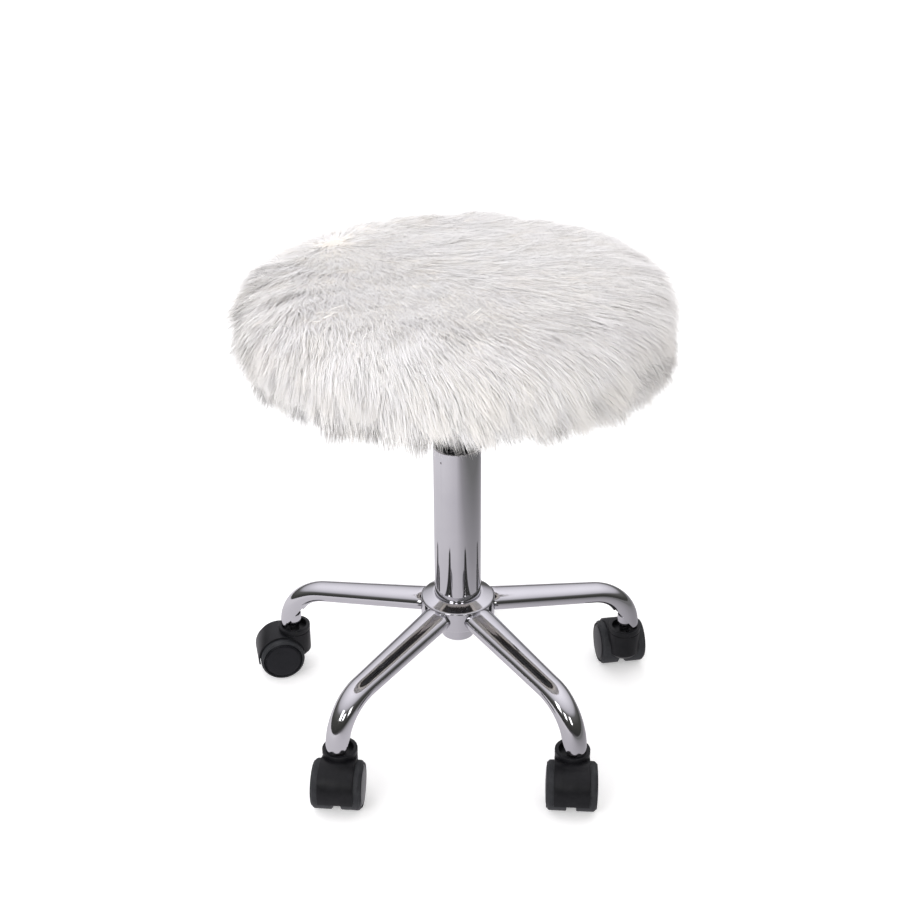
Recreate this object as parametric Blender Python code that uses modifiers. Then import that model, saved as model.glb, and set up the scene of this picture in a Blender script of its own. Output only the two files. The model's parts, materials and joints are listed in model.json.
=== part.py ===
"""Rolling stylist stool: a five-arm castor base, a gas-lift column and a round fur-covered seat.

Metres, +Z up. The origin is on the column's axis, at floor level.
"""

import math

import bmesh
import bpy
from mathutils import Matrix, Vector

GAP = 0.0003  # clearance between pieces that touch

# Base
ARM_ANGLES = (-33.0, 39.0, 111.0, 183.0, 255.0)  # degrees from -Y towards +X
STEM_CIRCLE_R = 0.2000  # the castor stems, a little inside the arms' ends
ARM_END_R = 0.2030
ARM_END_Z = 0.0600
ARM_HUB_Z = 0.1253
ARM_SLOPE = math.radians(7.5)
ARM_BEND_R = 0.0495
ARM_WALL = 0.0015
ARM_HUB_HALF = (0.0172, 0.0112)  # half width and half height of the oval beside the hub
ARM_BEND_HALF = (0.0142, 0.0106)  # where the bend starts
ARM_END_HALF = (0.0123, 0.0123)
ARM_SIDES = 14
ARM_BEND_STEPS = 6
NOTCH_Z = 0.0860  # top of the slanted cut that shows the stem sleeve
NOTCH_INNER = 0.0185
NOTCH_OUTER = 0.0035

HUB_R = 0.0400
HUB_TOP_R = 0.0385
HUB_WALL_Z = (0.1137, 0.1362)
HUB_CONE_Z = (0.1376, 0.1422)
HUB_BORE_R = 0.0305
BOSS_R = 0.0175
BOSS_Z = 0.0890

# Gas lift
COLUMN_R = 0.0250
COLUMN_WALL = 0.0018
COLUMN_Z = (0.1165, 0.3188)
COLUMN_FLOOR = 0.0030
BUSH_Z = (0.2420, 0.3180)
CYLINDER_R = 0.0140
CYLINDER_BORE_R = 0.0120
CYLINDER_Z = (0.1900, 0.4300)
TAPER_Z = 0.3980
TAPER_R = 0.0126
ROD_R = 0.0050
ROD_Z = (0.1060, 0.2750)
PISTON_R = 0.0116
BUTTON_R = 0.0040
BUTTON_Z = (0.4150, 0.4360)

# Seat
PLATE_HALF = 0.0780
PLATE_Z = (0.4475, 0.4500)
SOCKET_R = 0.0190
BOARD_R = 0.1720
BOARD_THICK = 0.0120
FOAM_R = 0.1740
FOAM_THICK = 0.0290
FUR_R = 0.2160
FUR_Z = (0.4300, 0.5140)
FUR_LIP_R = 0.1550
SOFT_GAP = 0.0010  # between the foam and its cover

# Height lever, which points away from the front
LEVER_ANGLE = math.radians(60.0)
LEVER_PIVOT = 0.0240
LEVER_Z = 0.4390
LEVER_R = 0.0022
LEVER_REACH = 0.1900
LEVER_DROP_Z = 0.3980
GRIP_R = 0.0055
GRIP_LENGTH = 0.0450

# Castors, with the wheels trailing towards +X before they are turned
WHEEL_R = 0.0250
TRAIL = 0.0175
SWIVEL_ANGLES = (-91.0, -90.0, 103.0, -90.0, 197.0)  # degrees of the trailing direction from +X
WHEEL_INNER_Y = 0.0045
WHEEL_OUTER_Y = 0.0266
CAP_R = 0.0215
AXLE_R = 0.0030
STEM_R = 0.0055
STEM_Z = (0.0300, 0.0780)
SLEEVE_R = 0.0085
SLEEVE_Z = (0.0603, 0.0730)
COLLAR_R = 0.0180
COLLAR_Z = 0.0575
RECESS_R = 0.0142
RECESS_DEPTH = 0.0060
HOOD_HALF_WIDTH = 0.0180
HOOD_R = 0.0274
WELL_R = 0.0257
WEB_HALF = 0.0030
HOOD_LIP_ANGLE = math.radians(-12.0)
HOOD_FRONT_Z = 0.0200
WHEEL_SEGMENTS = 24
ROUND_SEGMENTS = 32

FINISHES = {  # colour, roughness, metallic
    "chrome": ((0.80, 0.80, 0.82), 0.06, 1.0),
    "steel": ((0.55, 0.55, 0.56), 0.30, 1.0),
    "black_steel": ((0.03, 0.03, 0.03), 0.45, 0.3),
    "black_plastic": ((0.012, 0.012, 0.014), 0.42, 0.0),
    "grey_tread": ((0.045, 0.046, 0.050), 0.55, 0.0),
    "plywood": ((0.60, 0.43, 0.26), 0.70, 0.0),
    "foam": ((0.80, 0.76, 0.62), 0.90, 0.0),
    "white_fur": ((0.82, 0.80, 0.78), 0.85, 0.0),
}


def clear_scene():
    for ob in list(bpy.data.objects):
        bpy.data.objects.remove(ob, do_unlink=True)


def new_collection(name):
    collection = bpy.data.collections.new(name)
    bpy.context.scene.collection.children.link(collection)
    return collection


def finish(name, label):
    """A material of its own for one piece."""
    colour, roughness, metallic = FINISHES[label]
    mat = bpy.data.materials.new(f"{name}_{label}")
    mat.use_nodes = True
    shader = mat.node_tree.nodes["Principled BSDF"]
    shader.inputs["Base Color"].default_value = (*colour, 1.0)
    shader.inputs["Roughness"].default_value = roughness
    shader.inputs["Metallic"].default_value = metallic
    return mat


def add_object(name, mesh, label, parent=None):
    """A piece in the stool's collection; a copy of a shared mesh gets its own material."""
    ob = bpy.data.objects.new(name, mesh)
    stool.objects.link(ob)
    if not mesh.materials:
        mesh.materials.append(None)
    ob.material_slots[0].link = "OBJECT"
    ob.material_slots[0].material = finish(name, label)
    ob.parent = parent
    return ob


def empty_at(name, place, turn=0.0):
    holder = bpy.data.objects.new(name, None)
    stool.objects.link(holder)
    holder.location = place
    holder.rotation_euler = (0.0, 0.0, turn)
    return holder


def smooth(mesh, degrees=35.0):
    mesh.shade_smooth()
    mesh.set_sharp_from_angle(angle=math.radians(degrees))


def turned_mesh(name, profile, segments=ROUND_SEGMENTS, closed=True, matrix=None):
    """A profile of (radius, height) pairs, down its outer side, turned about Z."""
    mesh = bpy.data.meshes.new(name + "_profile")
    points = [(r, 0.0, z) for r, z in profile]
    edges = [(i, i + 1) for i in range(len(points) - 1)]
    if closed:
        edges.append((len(points) - 1, 0))
    mesh.from_pydata(points, edges, [])
    ob = bpy.data.objects.new(name + "_profile", mesh)
    bpy.context.scene.collection.objects.link(ob)
    screw = ob.modifiers.new("Turn", "SCREW")
    screw.axis = "Z"
    screw.angle = math.tau
    screw.steps = segments
    screw.render_steps = segments
    screw.use_merge_vertices = True
    screw.merge_threshold = 0.00001
    result = evaluated_mesh(ob, name)
    if matrix is not None:
        result.transform(matrix)
    smooth(result)
    return result


def evaluated_mesh(ob, name):
    """The mesh that an object's modifiers make; the object is removed."""
    bpy.context.view_layer.update()
    graph = bpy.context.evaluated_depsgraph_get()
    mesh = bpy.data.meshes.new_from_object(ob.evaluated_get(graph))
    mesh.name = name
    bpy.data.objects.remove(ob, do_unlink=True)
    return mesh


def cylinder_mesh(name, radius, z0, z1, segments=ROUND_SEGMENTS, matrix=None):
    bm = bmesh.new()
    bmesh.ops.create_cone(
        bm, cap_ends=True, segments=segments, radius1=radius, radius2=radius, depth=z1 - z0
    )
    bm.transform(Matrix.Translation((0.0, 0.0, (z0 + z1) / 2)))
    if matrix is not None:
        bm.transform(matrix)
    mesh = bpy.data.meshes.new(name)
    bm.to_mesh(mesh)
    bm.free()
    return mesh


def box_mesh(name, low, high):
    bm = bmesh.new()
    bmesh.ops.create_cube(bm, size=1.0)
    size = Vector(high) - Vector(low)
    middle = (Vector(high) + Vector(low)) / 2
    bm.transform(Matrix.Translation(middle) @ Matrix.Diagonal((*size, 1.0)))
    mesh = bpy.data.meshes.new(name)
    bm.to_mesh(mesh)
    bm.free()
    return mesh


def outline_mesh(name, points, half_thickness):
    """A flat outline in XZ, extruded both ways along Y."""
    curve = bpy.data.curves.new(name, "CURVE")
    curve.dimensions = "2D"
    curve.fill_mode = "BOTH"
    curve.extrude = half_thickness
    spline = curve.splines.new("POLY")
    spline.points.add(len(points) - 1)
    for point, (x, z) in zip(spline.points, points):
        point.co = (x, z, 0.0, 1.0)
    spline.use_cyclic_u = True
    ob = bpy.data.objects.new(name, curve)
    bpy.context.scene.collection.objects.link(ob)
    mesh = evaluated_mesh(ob, name)
    mesh.transform(Matrix.Rotation(math.pi / 2, 4, "X"))
    return welded(mesh)


def welded(mesh):
    bm = bmesh.new()
    bm.from_mesh(mesh)
    bmesh.ops.remove_doubles(bm, verts=bm.verts, dist=0.00001)
    bmesh.ops.recalc_face_normals(bm, faces=bm.faces)
    bm.to_mesh(mesh)
    bm.free()
    return mesh


def combined_mesh(name, base, steps):
    """The base mesh with Booleans: steps are (operation, mesh) pairs."""
    ob = bpy.data.objects.new(name, base)
    bpy.context.scene.collection.objects.link(ob)
    tools = []
    for operation, mesh in steps:
        tool = bpy.data.objects.new(mesh.name + "_cutter", mesh)
        cutters.objects.link(tool)
        tool.hide_render = True
        tool.display_type = "WIRE"
        boolean = ob.modifiers.new(operation.title(), "BOOLEAN")
        boolean.operation = operation
        boolean.solver = "EXACT"
        boolean.object = tool
        tools.append(tool)
    result = evaluated_mesh(ob, name)
    for tool in tools:
        bpy.data.objects.remove(tool, do_unlink=True)
    smooth(result)
    return result


def arc(centre, radius, start, end, count):
    """Points on an arc from start to end, both in radians."""
    turns = [start + (end - start) * i / (count - 1) for i in range(count)]
    return [(centre[0] + radius * math.cos(t), centre[1] + radius * math.sin(t)) for t in turns]


# Arms


def between(first, last, share):
    """The half sizes part of the way from one oval to another."""
    return [a + (b - a) * share for a, b in zip(first, last)]


def arm_path():
    """Stations along an arm: distance out, height, downward tilt and the oval's half sizes."""
    bend_top_out = ARM_END_R - ARM_BEND_R * (1.0 - math.sin(ARM_SLOPE))
    bend_top_z = ARM_HUB_Z - math.tan(ARM_SLOPE) * (bend_top_out - HUB_R)
    centre_z = bend_top_z - ARM_BEND_R * math.cos(ARM_SLOPE)
    stations = []
    for share in (-0.05, 0.25, 0.6):
        out = HUB_R + (bend_top_out - HUB_R) * share
        z = ARM_HUB_Z - math.tan(ARM_SLOPE) * (out - HUB_R)
        stations.append((out, z, ARM_SLOPE, *between(ARM_HUB_HALF, ARM_BEND_HALF, share)))
    for i in range(ARM_BEND_STEPS + 1):
        share = i / ARM_BEND_STEPS
        tilt = ARM_SLOPE + (math.pi / 2 - ARM_SLOPE) * share
        out = ARM_END_R - ARM_BEND_R + ARM_BEND_R * math.sin(tilt)
        z = centre_z + ARM_BEND_R * math.cos(tilt)
        stations.append((out, z, tilt, *between(ARM_BEND_HALF, ARM_END_HALF, share)))
    stations.append((ARM_END_R, ARM_END_Z, math.pi / 2, *ARM_END_HALF))
    return stations


def arm_ring(bm, station, inset):
    """One oval ring of the arm's tube, which grows round towards the stem."""
    out, z, tilt, half_width, half_height = station
    up = Vector((math.sin(tilt), 0.0, math.cos(tilt)))
    middle = Vector((out, 0.0, z))
    ring = []
    for i in range(ARM_SIDES):
        turn = math.tau * i / ARM_SIDES
        place = middle + up * (half_height - inset) * math.cos(turn)
        place.y = (half_width - inset) * math.sin(turn)
        ring.append(bm.verts.new(place))
    return ring


def arm_tube():
    """A loft from the oval beside the hub to the round end, with a bore through it."""
    bm = bmesh.new()
    outer = [arm_ring(bm, station, 0.0) for station in arm_path()]
    inner = [arm_ring(bm, station, ARM_WALL) for station in arm_path()]
    loop = outer + inner[::-1]
    for ring, following in zip(loop, loop[1:] + loop[:1]):
        for i in range(ARM_SIDES):
            j = (i + 1) % ARM_SIDES
            bm.faces.new((ring[i], ring[j], following[j], following[i]))
    bmesh.ops.recalc_face_normals(bm, faces=bm.faces)
    mesh = bpy.data.meshes.new("arm_tube")
    bm.to_mesh(mesh)
    bm.free()
    return mesh


def arm_mesh():
    """The tube, cut to the hub's wall and notched on its inner side above the castor."""
    saddle = cylinder_mesh("saddle", HUB_R + GAP, 0.08, 0.18, 48)
    low = ARM_END_Z - 0.001
    notch = outline_mesh(
        "notch",
        [
            (ARM_END_R - NOTCH_INNER, NOTCH_Z),
            (ARM_END_R - NOTCH_INNER, low),
            (ARM_END_R + NOTCH_OUTER, low),
        ],
        ARM_END_HALF[0] + 0.003,
    )
    return combined_mesh("arm", arm_tube(), [("DIFFERENCE", saddle), ("DIFFERENCE", notch)])


def sleeve_mesh():
    low, high = SLEEVE_Z
    bore = STEM_R + GAP
    return turned_mesh(
        "stem_sleeve",
        [(bore, high), (SLEEVE_R, high), (SLEEVE_R, low), (bore, low)],
        24,
        matrix=Matrix.Translation((STEM_CIRCLE_R, 0.0, 0.0)),
    )


def build_arms():
    arm, sleeve = arm_mesh(), sleeve_mesh()
    for number, angle in enumerate(ARM_ANGLES, 1):
        holder = empty_at(f"arm_{number}_direction", (0, 0, 0), math.radians(angle - 90.0))
        add_object(f"arm_{number}", arm, "chrome", holder)
        add_object(f"stem_sleeve_{number}", sleeve, "chrome", holder)


# Hub and gas lift


def build_hub():
    low, high = HUB_WALL_Z
    rim_z, cone_z = HUB_CONE_Z
    neck = COLUMN_R + GAP
    shell = [
        (neck, cone_z),
        (neck + 0.0022, cone_z),
        (HUB_TOP_R, rim_z),
        (HUB_R, high),
        (HUB_R, low + 0.0012),
        (HUB_R - 0.0012, low),
        (HUB_BORE_R, low),
        (HUB_BORE_R, rim_z - 0.0010),
        (neck, rim_z + 0.0010),
    ]
    add_object("hub_shell", turned_mesh("hub_shell", shell), "chrome")
    socket_r = HUB_BORE_R - GAP
    floor_z = COLUMN_Z[0] - GAP
    socket = [
        (neck, rim_z - 0.0020),
        (socket_r, rim_z - 0.0020),
        (socket_r, low + 0.0002),
        (BOSS_R, low - 0.0045),
        (BOSS_R, BOSS_Z + 0.0010),
        (BOSS_R - 0.0010, BOSS_Z),
        (ROD_R + 0.0045, BOSS_Z),
        (ROD_R + 0.0045, floor_z),
        (neck, floor_z),
    ]
    add_object("hub_socket", turned_mesh("hub_socket", socket), "chrome")


def build_column():
    low, high = COLUMN_Z
    bore = COLUMN_R - COLUMN_WALL
    hole = ROD_R + 0.0012
    tube = [
        (bore, high),
        (COLUMN_R - 0.0006, high),
        (COLUMN_R, high - 0.0006),
        (COLUMN_R, low),
        (hole, low),
        (hole, low + COLUMN_FLOOR),
        (bore, low + COLUMN_FLOOR),
    ]
    add_object("column_tube", turned_mesh("column_tube", tube), "chrome")
    inner = CYLINDER_R + GAP
    bush = [
        (inner, BUSH_Z[1]),
        (bore - GAP, BUSH_Z[1]),
        (bore - GAP, BUSH_Z[0]),
        (inner, BUSH_Z[0]),
    ]
    add_object("guide_bush", turned_mesh("guide_bush", bush), "black_plastic")


def build_lift():
    """The gas cylinder, which rises with the seat, and the rod, which the column holds."""
    low, high = CYLINDER_Z
    hole = BUTTON_R + GAP
    cylinder = [
        (hole, high),
        (TAPER_R, high),
        (CYLINDER_R, TAPER_Z),
        (CYLINDER_R, low + 0.0005),
        (CYLINDER_R - 0.0005, low),
        (ROD_R + GAP, low),
        (ROD_R + GAP, low + 0.0100),
        (CYLINDER_BORE_R, low + 0.0100),
        (CYLINDER_BORE_R, high - 0.0250),
        (hole, high - 0.0180),
    ]
    add_object("gas_cylinder", turned_mesh("gas_cylinder", cylinder), "steel")
    floor_top = COLUMN_Z[0] + COLUMN_FLOOR
    bearing_top = floor_top + GAP + 0.0050
    flange_z = bearing_top + GAP
    low, high = ROD_Z
    rod = [
        (0.0, high),
        (PISTON_R, high),
        (PISTON_R, high - 0.0090),
        (ROD_R, high - 0.0100),
        (ROD_R, flange_z + 0.0020),
        (ROD_R + 0.0040, flange_z + 0.0020),
        (ROD_R + 0.0040, flange_z),
        (ROD_R, flange_z),
        (ROD_R, low),
        (0.0, low),
    ]
    add_object("piston_rod", turned_mesh("piston_rod", rod, 24, closed=False), "steel")
    ring = ROD_R + GAP
    bearing = [
        (ring, bearing_top),
        (0.0120, bearing_top),
        (0.0120, floor_top + GAP),
        (ring, floor_top + GAP),
    ]
    add_object("thrust_bearing", turned_mesh("thrust_bearing", bearing, 24), "steel")
    clip_top = COLUMN_Z[0] - 3 * GAP
    clip = [
        (ring, clip_top),
        (ROD_R + 0.0040, clip_top),
        (ROD_R + 0.0040, clip_top - 0.0012),
        (ring, clip_top - 0.0012),
    ]
    add_object("retaining_clip", turned_mesh("retaining_clip", clip, 24), "steel")
    button = [
        (0.0, BUTTON_Z[1]),
        (BUTTON_R - 0.0008, BUTTON_Z[1]),
        (BUTTON_R, BUTTON_Z[1] - 0.0008),
        (BUTTON_R, BUTTON_Z[0]),
        (0.0, BUTTON_Z[0]),
    ]
    add_object("valve_button", turned_mesh("valve_button", button, 16, closed=False), "black_plastic")


# Seat


def along_lever(mesh):
    mesh.transform(Matrix.Rotation(LEVER_ANGLE, 4, "Z"))
    return mesh


def build_plate():
    """A flat plate with the taper socket under it and two ears that hold the lever's pin."""
    low, high = PLATE_Z
    plate = box_mesh("plate", (-PLATE_HALF, -PLATE_HALF, low), (PLATE_HALF, PLATE_HALF, high))
    socket = cylinder_mesh("socket", SOCKET_R, TAPER_Z + 0.004, low + 0.001)
    taper = turned_mesh(
        "taper",
        [
            (0.0, low),
            (TAPER_R + GAP, low),
            (TAPER_R + GAP, CYLINDER_Z[1]),
            (CYLINDER_R + GAP, TAPER_Z),
            (CYLINDER_R + GAP, TAPER_Z - 0.001),
            (0.0, TAPER_Z - 0.001),
        ],
        closed=False,
    )
    slot = along_lever(
        box_mesh("slot", (0.0, -0.0045, CYLINDER_Z[1] + 0.0005), (0.030, 0.0045, low + 0.0002))
    )
    steps = [("UNION", socket), ("DIFFERENCE", taper), ("DIFFERENCE", slot)]
    for side in (-1, 1):
        inner, outer = sorted((side * 0.0060, side * 0.0080))
        ear = box_mesh(
            "ear",
            (LEVER_PIVOT - 0.0060, inner, LEVER_Z - 0.0060),
            (LEVER_PIVOT + 0.0060, outer, low + 0.001),
        )
        steps.append(("UNION", along_lever(ear)))
    pin_hole = cylinder_mesh(
        "pin_hole",
        LEVER_R + GAP,
        -0.020,
        0.020,
        16,
        Matrix.Translation((LEVER_PIVOT, 0.0, LEVER_Z)) @ Matrix.Rotation(math.pi / 2, 4, "X"),
    )
    steps.append(("DIFFERENCE", along_lever(pin_hole)))
    add_object("seat_plate", combined_mesh("seat_plate", plate, steps), "black_steel")


def tube_mesh(name, points, radius):
    """A round rod through the given points."""
    curve = bpy.data.curves.new(name, "CURVE")
    curve.dimensions = "3D"
    curve.bevel_depth = radius
    curve.bevel_resolution = 2
    curve.use_fill_caps = True
    spline = curve.splines.new("POLY")
    spline.points.add(len(points) - 1)
    for point, place in zip(spline.points, points):
        point.co = (*place, 1.0)
    ob = bpy.data.objects.new(name, curve)
    bpy.context.scene.collection.objects.link(ob)
    return welded(evaluated_mesh(ob, name))


def build_lever():
    """A rod from over the valve button, past its pin, down and out under the seat to a grip."""
    bend_out, drop_out = 0.050, 0.090
    count = 6
    points = [(-0.0015, 0.0, LEVER_Z), (bend_out, 0.0, LEVER_Z)]
    for i in range(1, count):
        share = i / count
        ease = (1.0 - math.cos(math.pi * share)) / 2
        z = LEVER_Z + (LEVER_DROP_Z - LEVER_Z) * ease
        points.append((bend_out + (drop_out - bend_out) * share, 0.0, z))
    points += [(drop_out, 0.0, LEVER_DROP_Z), (LEVER_REACH - 0.004, 0.0, LEVER_DROP_Z)]
    rod = tube_mesh("lever_rod", points, LEVER_R)
    pin = cylinder_mesh(
        "lever_pin",
        LEVER_R,
        -0.0085,
        0.0085,
        16,
        Matrix.Translation((LEVER_PIVOT, 0.0, LEVER_Z)) @ Matrix.Rotation(math.pi / 2, 4, "X"),
    )
    lever = combined_mesh("lever", rod, [("UNION", pin)])
    holder = empty_at("lever_axis", (0, 0, 0), LEVER_ANGLE)
    add_object("lever", lever, "black_steel", holder)
    sideways = Matrix.Translation((LEVER_REACH, 0.0, LEVER_DROP_Z)) @ Matrix.Rotation(
        math.pi / 2, 4, "Y"
    )
    hole = LEVER_R + GAP
    grip = [
        (0.0, 0.0),
        (GRIP_R - 0.0015, 0.0),
        (GRIP_R, -0.0015),
        (GRIP_R, -GRIP_LENGTH + 0.0015),
        (GRIP_R - 0.0015, -GRIP_LENGTH),
        (hole, -GRIP_LENGTH),
        (hole, -0.0030),
        (0.0, -0.0030),
    ]
    mesh = turned_mesh("lever_grip", grip, 20, closed=False, matrix=sideways)
    add_object("lever_grip", mesh, "black_plastic", holder)


def build_pad():
    """The board, the foam on it and the fur cover that wraps both."""
    board_z = PLATE_Z[1] + GAP
    board_top = board_z + BOARD_THICK
    board = [
        (0.0, board_top),
        (BOARD_R, board_top),
        (BOARD_R, board_z),
        (0.0, board_z),
    ]
    add_object("seat_board", turned_mesh("seat_board", board, 40, closed=False), "plywood")
    foam_z = board_top + GAP
    foam_top = foam_z + FOAM_THICK
    edge = 0.018
    foam = [(0.0, foam_top)]
    foam += arc((FOAM_R - edge, foam_top - edge), edge, math.pi / 2, 0.0, 4)
    foam += [(FOAM_R, foam_z), (0.0, foam_z)]
    add_object("seat_foam", turned_mesh("seat_foam", foam, 40, closed=False), "foam")
    low, high = FUR_Z
    bulge = 0.030
    inside = FOAM_R + SOFT_GAP
    cover = [(0.0, high), (FUR_R * 0.55, high - 0.0020)]
    cover += arc((FUR_R - bulge, high - bulge - 0.005), bulge, math.pi / 2, 0.0, 5)
    cover += [(FUR_R - 0.004, low + 0.012), (FUR_R - 0.016, low)]
    cover += [(FUR_LIP_R, low), (FUR_LIP_R, board_z - 2 * GAP), (inside, board_z - 2 * GAP)]
    cover += arc((inside - edge, foam_top + SOFT_GAP - edge), edge, 0.0, math.pi / 2, 4)
    cover += [(0.0, foam_top + SOFT_GAP)]
    add_object("fur_cover", turned_mesh("fur_cover", cover, 40, closed=False), "white_fur")


# Castors


def housing_mesh():
    """The hood over both wheels, the web between them, and the collar round the stem."""
    axle = (TRAIL, WHEEL_R)
    outline = [(0.0, COLLAR_Z - 0.010)]
    outline += arc(axle, HOOD_R, math.radians(100.0), HOOD_LIP_ANGLE, 10)
    outline += arc(axle, WELL_R, HOOD_LIP_ANGLE, HOOD_LIP_ANGLE + 0.05, 2)
    outline += arc(axle, 0.0120, math.radians(-10.0), math.radians(-170.0), 5)
    outline += [(0.0, HOOD_FRONT_Z)]
    hood = outline_mesh("hood", outline, HOOD_HALF_WIDTH)
    front = HOOD_FRONT_Z + 0.004
    collar = turned_mesh(
        "collar",
        [
            (0.0, COLLAR_Z),
            (COLLAR_R - 0.0008, COLLAR_Z),
            (COLLAR_R, COLLAR_Z - 0.0008),
            (COLLAR_R, front),
            (COLLAR_R - 0.004, front - 0.004),
            (0.0, front - 0.004),
        ],
        24,
        closed=False,
    )
    recess = cylinder_mesh("recess", RECESS_R, COLLAR_Z - RECESS_DEPTH, COLLAR_Z + 0.01, 24)
    bore = cylinder_mesh("bore", STEM_R + GAP, STEM_Z[0] - GAP, COLLAR_Z, 14)
    steps = [("UNION", collar), ("DIFFERENCE", recess), ("DIFFERENCE", bore)]
    sideways = Matrix.Translation((TRAIL, 0.0, WHEEL_R)) @ Matrix.Rotation(math.pi / 2, 4, "X")
    for side in (-1, 1):
        ends = sorted((side * WEB_HALF, side * (HOOD_HALF_WIDTH + 0.004)))
        steps.append(("DIFFERENCE", cylinder_mesh("well", WELL_R, *ends, 28, sideways)))
    steps.append(("DIFFERENCE", cylinder_mesh("eye", AXLE_R + GAP, -0.01, 0.01, 12, sideways)))
    return combined_mesh("castor_housing", hood, steps)


def wheel_mesh():
    """One wheel's plastic body, with its bore open on the inner side only."""
    bore = AXLE_R + GAP
    axle_end = WHEEL_OUTER_Y - 0.0060
    outer = WHEEL_OUTER_Y
    profile = [
        (0.0, outer),
        (CAP_R * 0.6, outer - 0.0006),
        (CAP_R, outer - 0.0022),
        (CAP_R, WHEEL_INNER_Y + 0.0015),
        (bore + 0.0030, WHEEL_INNER_Y),
        (bore, WHEEL_INNER_Y),
        (bore, axle_end),
        (0.0, axle_end),
    ]
    return turned_mesh("castor_wheel", profile, WHEEL_SEGMENTS, closed=False)


def tread_mesh():
    """The soft tyre round a wheel, with rounded shoulders."""
    inner = CAP_R + GAP
    low, high = WHEEL_INNER_Y + 0.0015, WHEEL_OUTER_Y - 0.0010
    profile = [
        (inner, high - 0.0008),
        (inner + 0.0012, high),
        (WHEEL_R - 0.0010, high - 0.0026),
        (WHEEL_R, high - 0.0060),
        (WHEEL_R, low + 0.0020),
        (WHEEL_R - 0.0020, low),
        (inner, low),
    ]
    return turned_mesh("castor_tread", profile, WHEEL_SEGMENTS)


def build_castors():
    housing, wheel, tread = housing_mesh(), wheel_mesh(), tread_mesh()
    half = WHEEL_OUTER_Y - 0.0060 - GAP
    axle = cylinder_mesh("castor_axle", AXLE_R, -half, half, 16)
    stem = turned_mesh(
        "castor_stem",
        [
            (0.0, STEM_Z[1]),
            (STEM_R - 0.0015, STEM_Z[1]),
            (STEM_R, STEM_Z[1] - 0.0020),
            (STEM_R, STEM_Z[0]),
            (0.0, STEM_Z[0]),
        ],
        16,
        closed=False,
    )
    for number, (arm, swivel) in enumerate(zip(ARM_ANGLES, SWIVEL_ANGLES), 1):
        way = math.radians(arm)
        place = (STEM_CIRCLE_R * math.sin(way), -STEM_CIRCLE_R * math.cos(way), 0.0)
        turn = empty_at(f"castor_{number}_swivel", place, math.radians(swivel))
        add_object(f"castor_{number}_housing", housing, "black_plastic", turn)
        add_object(f"castor_{number}_stem", stem, "steel", turn)
        for side, sense in (("left", 1), ("right", -1)):
            for label, mesh, look in (("wheel", wheel, "black_plastic"), ("tread", tread, "grey_tread")):
                ob = add_object(f"castor_{number}_{label}_{side}", mesh, look, turn)
                ob.location = (TRAIL, 0.0, WHEEL_R)
                ob.rotation_euler = (-sense * math.pi / 2, 0.0, 0.0)
        ob = add_object(f"castor_{number}_axle", axle, "steel", turn)
        ob.location = (TRAIL, 0.0, WHEEL_R)
        ob.rotation_euler = (math.pi / 2, 0.0, 0.0)


clear_scene()
stool = new_collection("rolling_stylist_stool")
cutters = new_collection("cutters")
build_arms()
build_hub()
build_column()
build_lift()
build_plate()
build_lever()
build_pad()
build_castors()
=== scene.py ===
"""Rolling stylist stool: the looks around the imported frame.

Metres, +Z up, the frame's origin on the column's axis at floor level. The seat's long white pile is
made of thin strips of mesh, the chrome and castor pieces are finer versions of the frame's own.
"""

import json
import math

import bmesh
import bpy
import numpy as np
from mathutils import Matrix, Vector
from mathutils.kdtree import KDTree


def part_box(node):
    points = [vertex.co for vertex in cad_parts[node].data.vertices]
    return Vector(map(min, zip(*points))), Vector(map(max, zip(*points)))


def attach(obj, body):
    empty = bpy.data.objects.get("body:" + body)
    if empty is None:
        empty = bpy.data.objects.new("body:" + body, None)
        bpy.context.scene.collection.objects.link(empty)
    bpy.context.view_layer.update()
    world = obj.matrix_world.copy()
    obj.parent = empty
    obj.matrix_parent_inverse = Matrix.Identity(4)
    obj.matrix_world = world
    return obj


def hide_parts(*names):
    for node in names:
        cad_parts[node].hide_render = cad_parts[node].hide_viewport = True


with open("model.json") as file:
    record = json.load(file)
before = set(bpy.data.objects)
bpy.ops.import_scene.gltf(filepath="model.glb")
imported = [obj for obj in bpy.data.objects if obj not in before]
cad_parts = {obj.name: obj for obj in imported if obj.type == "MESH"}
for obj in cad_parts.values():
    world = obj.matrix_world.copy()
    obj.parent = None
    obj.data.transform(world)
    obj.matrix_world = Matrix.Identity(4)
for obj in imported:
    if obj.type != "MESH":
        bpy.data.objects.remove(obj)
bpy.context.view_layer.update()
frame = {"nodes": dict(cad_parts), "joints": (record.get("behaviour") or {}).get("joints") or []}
joints = {joint["name"]: joint for joint in frame["joints"]}
scene = bpy.context.scene
stem_point = Vector(joints["castor_1_swivel"]["pos_m"])
axle_point = Vector(joints["wheel_1_left_roll"]["pos_m"])

GAP = 0.0003
ROUND = 96  # segments of a turned piece

# Arms, along their own +X
ARM_END_R = 0.2030
ARM_END_Z = 0.0600
ARM_HUB_Z = 0.1253
ARM_SLOPE = math.radians(7.5)
ARM_BEND_R = 0.0495
ARM_WALL = 0.0015
ARM_HUB_HALF = (0.0172, 0.0112)
ARM_BEND_HALF = (0.0142, 0.0106)
ARM_END_HALF = (0.0123, 0.0123)
NOTCH_Z = 0.0860
NOTCH_INNER = 0.0185
NOTCH_OUTER = 0.0035

HUB_R = 0.0400
HUB_TOP_R = 0.0385
HUB_BORE_R = 0.0305
BOSS_R = 0.0175

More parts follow.
